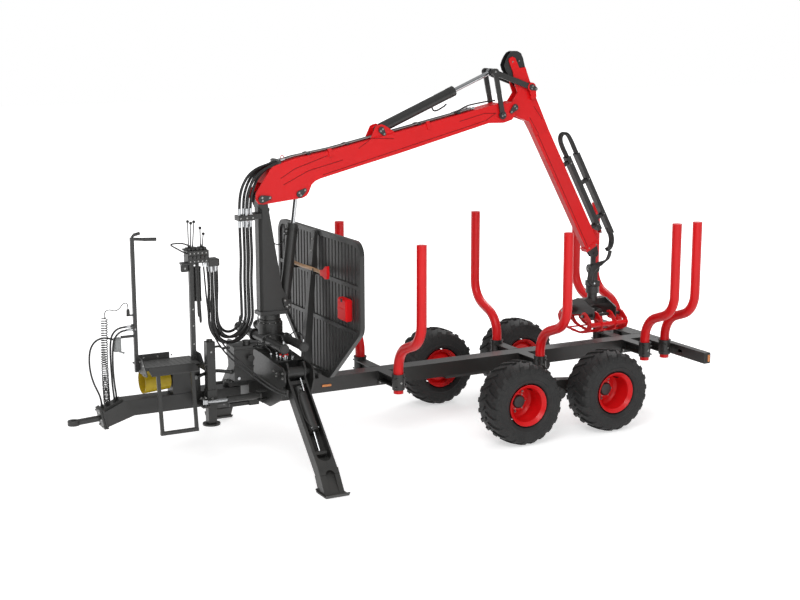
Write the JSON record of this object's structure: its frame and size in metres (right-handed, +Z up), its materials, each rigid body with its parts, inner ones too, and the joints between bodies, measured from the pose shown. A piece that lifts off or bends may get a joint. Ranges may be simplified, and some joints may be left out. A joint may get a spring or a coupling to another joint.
{
  "type": "forestry trailer",
  "caption": "Forestry trailer for logs, with bogie wheels, curved stakes, a headboard, stabilizer legs, a steered drawbar and a slewing loading crane with a grapple.",
  "frame": {"origin": "on the ground, under the middle of the trailer's length and width", "axes": "+X along the trailer from the towing eye to the tail, +Y to the trailer's right when it travels, +Z up"},
  "size_m": [6.95, 3.3, 4.0364],
  "materials": {
    "red_paint": "satin signal red paint",
    "dark_paint": "satin anthracite paint",
    "tyre": "black tread rubber",
    "chrome": "polished hard chrome",
    "steel": "zinc plated steel",
    "black_plastic": "matt black",
    "yellow_plastic": "matt yellow",
    "orange_lens": "clear orange lens",
    "hose": "black hose rubber"
  },
  "bodies": {
    "chassis": {"main_beam": "dark_paint", "bogie_axle": "dark_paint", "bogie_left": "dark_paint", "bogie_right": "dark_paint", "bunks": "dark_paint", "stakes": "red_paint", "headboard": "dark_paint", "tail_bar": "dark_paint", "lamps": "orange_lens", "crane_frame": "dark_paint", "slew_housing": "dark_paint", "oil_tank": "dark_paint", "hand_tools": "steel"},
    "drawbar": {"drawbar": "dark_paint", "tow_eye": "dark_paint", "jack_tube": "dark_paint", "platform": "dark_paint", "valve_block": "dark_paint", "pump": "dark_paint", "pto_guard": "yellow_plastic", "couplings": "black_plastic", "valve_hoses": "hose", "coil_lead": "hose", "front_hoses": "hose", "suction_hose": "hose", "leg_hoses": "hose"},
    "jack": {"jack_foot": "dark_paint"},
    "leg_left": {"leg_left": "dark_paint"},
    "leg_right": {"leg_right": "dark_paint"},
    "column": {"column": "dark_paint", "column_hoses": "hose", "lift_hose": "hose"},
    "boom": {"boom": "red_paint", "boom_hoses": "hose"},
    "lift_barrel": {"lift_barrel": "dark_paint"},
    "lift_rod": {"lift_rod": "chrome"},
    "stick": {"stick": "red_paint", "stick_guards": "black_plastic"},
    "stick_barrel": {"stick_barrel": "dark_paint"},
    "stick_rod": {"stick_rod": "chrome"},
    "link_bars": {"link_bars": "dark_paint"},
    "link_fork": {"link_fork": "dark_paint"},
    "extension": {"extension": "dark_paint"},
    "hanger": {"hanger": "dark_paint", "rotator": "dark_paint"},
    "grapple": {"grapple_body": "dark_paint"},
    "jaw_left": {"jaw_left": "red_paint"},
    "jaw_right": {"jaw_right": "red_paint"},
    "wheel_left_front": {"tyre_left_front": "tyre", "rim_left_front": "red_paint"},
    "wheel_left_rear": {"tyre_left_rear": "tyre", "rim_left_rear": "red_paint"},
    "wheel_right_front": {"tyre_right_front": "tyre", "rim_right_front": "red_paint"},
    "wheel_right_rear": {"tyre_right_rear": "tyre", "rim_right_rear": "red_paint"},
    "steer_barrel_left": {"steer_barrel_left": "dark_paint"},
    "steer_rod_left": {"steer_rod_left": "chrome"},
    "steer_barrel_right": {"steer_barrel_right": "dark_paint"},
    "steer_rod_right": {"steer_rod_right": "chrome"}
  },
  "joints": [
    {"name": "wheel_left_front_spin", "type": "hinge", "parent": "chassis", "child": "wheel_left_front", "pos_m": [1.047, -0.921, 0.437], "axis": [0, 1, 0], "continuous": true},
    {"name": "wheel_left_rear_spin", "type": "hinge", "parent": "chassis", "child": "wheel_left_rear", "pos_m": [2.153, -0.921, 0.437], "axis": [0, 1, 0], "continuous": true},
    {"name": "wheel_right_front_spin", "type": "hinge", "parent": "chassis", "child": "wheel_right_front", "pos_m": [1.047, 0.921, 0.437], "axis": [0, 1, 0], "continuous": true},
    {"name": "wheel_right_rear_spin", "type": "hinge", "parent": "chassis", "child": "wheel_right_rear", "pos_m": [2.153, 0.921, 0.437], "axis": [0, 1, 0], "continuous": true},
    {"name": "drawbar_steer", "type": "hinge", "parent": "chassis", "child": "drawbar", "pos_m": [-1.79, 0, 0.695], "axis": [0, 0, 1], "range_deg": [-20, 20], "deforming": ["valve_hoses", "suction_hose", "leg_hoses"]},
    {"name": "jack_slide", "type": "slide", "parent": "drawbar", "child": "jack", "axis": [0, 0, -1], "range_m": [0, 0.43]},
    {"name": "leg_left_swing", "type": "hinge", "parent": "chassis", "child": "leg_left", "pos_m": [-1.392, -0.66, 0.985], "axis": [-1, 0, 0], "range_deg": [0, 125]},
    {"name": "leg_right_swing", "type": "hinge", "parent": "chassis", "child": "leg_right", "pos_m": [-1.392, 0.66, 0.985], "axis": [1, 0, 0], "range_deg": [0, 125]},
    {"name": "crane_slew", "type": "hinge", "parent": "chassis", "child": "column", "pos_m": [-1.37, 0, 1.4], "axis": [0, 0, 1], "range_deg": [-185, 185], "deforming": ["column_hoses"]},
    {"name": "boom_lift", "type": "hinge", "parent": "column", "child": "boom", "pos_m": [-1.47, 0, 2.63], "axis": [0, -1, 0], "range_deg": [0, 62], "deforming": ["boom_hoses"]},
    {"name": "lift_barrel_swing", "type": "hinge", "parent": "column", "child": "lift_barrel", "pos_m": [-1.212, 0, 1.535], "axis": [0, -1, 0], "range_deg": [0, 11.38], "deforming": ["lift_hose"]},
    {"name": "lift_rod_slide", "type": "slide", "parent": "lift_barrel", "child": "lift_rod", "axis": [0.133, 0, 0.9911], "range_m": [0, 0.3458]},
    {"name": "stick_swing", "type": "hinge", "parent": "boom", "child": "stick", "pos_m": [1.45847, 0, 3.44214], "axis": [0, -1, 0], "range_deg": [0, 58]},
    {"name": "stick_barrel_swing", "type": "hinge", "parent": "boom", "child": "stick_barrel", "pos_m": [-0.13762, 0, 3.25894], "axis": [0, -1, 0], "range_deg": [-3.72, 0]},
    {"name": "stick_rod_slide", "type": "slide", "parent": "stick_barrel", "child": "stick_rod", "axis": [0.9231, 0, 0.3846], "range_m": [-0.3501, 0]},
    {"name": "link_bars_swing", "type": "hinge", "parent": "boom", "child": "link_bars", "pos_m": [1.29743, 0, 3.36427], "axis": [0, -1, 0], "range_deg": [0, 45.67]},
    {"name": "link_fork_swing", "type": "hinge", "parent": "stick", "child": "link_fork", "pos_m": [1.66735, 0, 3.65115], "axis": [0, -1, 0], "range_deg": [-25.85, 0]},
    {"name": "extension_slide", "type": "slide", "parent": "stick", "child": "extension", "axis": [0.4741, 0, -0.8805], "range_m": [0, 0.14]},
    {"name": "hanger_swing", "type": "hinge", "parent": "extension", "child": "hanger", "pos_m": [2.58938, 0, 1.76367], "axis": [0, -1, 0], "range_deg": [-80, 40]},
    {"name": "rotator_spin", "type": "hinge", "parent": "hanger", "child": "grapple", "pos_m": [2.58938, 0, 1.2], "axis": [0, 0, 1], "continuous": true},
    {"name": "jaw_left_swing", "type": "hinge", "parent": "grapple", "child": "jaw_left", "pos_m": [2.58938, -0.195, 1.09067], "axis": [-1, 0, 0], "range_deg": [0, 60]},
    {"name": "jaw_right_swing", "type": "hinge", "parent": "grapple", "child": "jaw_right", "pos_m": [2.58938, 0.195, 1.09067], "axis": [1, 0, 0], "range_deg": [0, 60]},
    {"name": "steer_barrel_left_swing", "type": "hinge", "parent": "chassis", "child": "steer_barrel_left", "pos_m": [-1.61, -0.3, 0.699], "axis": [0, 0, 1], "range_deg": [-14.52, 14.52]},
    {"name": "steer_rod_left_slide", "type": "slide", "parent": "steer_barrel_left", "child": "steer_rod_left", "axis": [-1, 0, 0], "range_m": [-0.1081, 0.1081]},
    {"name": "steer_barrel_right_swing", "type": "hinge", "parent": "chassis", "child": "steer_barrel_right", "pos_m": [-1.61, 0.3, 0.699], "axis": [0, 0, 1], "range_deg": [-14.52, 14.52]},
    {"name": "steer_rod_right_slide", "type": "slide", "parent": "steer_barrel_right", "child": "steer_rod_right", "axis": [-1, 0, 0], "range_m": [-0.1081, 0.1081]}
  ],
  "couplings": [
    {"joint": "lift_barrel_swing", "follows": "boom_lift", "ratio": 0.17996},
    {"joint": "lift_rod_slide", "follows": "boom_lift", "m_per_rad": 0.31333},
    {"joint": "stick_barrel_swing", "follows": "stick_swing", "ratio": -0.062942},
    {"joint": "stick_rod_slide", "follows": "stick_swing", "m_per_rad": -0.33908},
    {"joint": "link_bars_swing", "follows": "stick_swing", "ratio": 0.77193},
    {"joint": "link_fork_swing", "follows": "stick_swing", "ratio": -0.43691},
    {"joint": "jaw_right_swing", "follows": "jaw_left_swing", "ratio": 1},
    {"joint": "steer_barrel_left_swing", "follows": "drawbar_steer", "ratio": 0.69785},
    {"joint": "steer_rod_left_slide", "follows": "drawbar_steer", "m_per_rad": -0.29779},
    {"joint": "steer_barrel_right_swing", "follows": "drawbar_steer", "ratio": 0.69785},
    {"joint": "steer_rod_right_slide", "follows": "drawbar_steer", "m_per_rad": 0.29779}
  ]
}
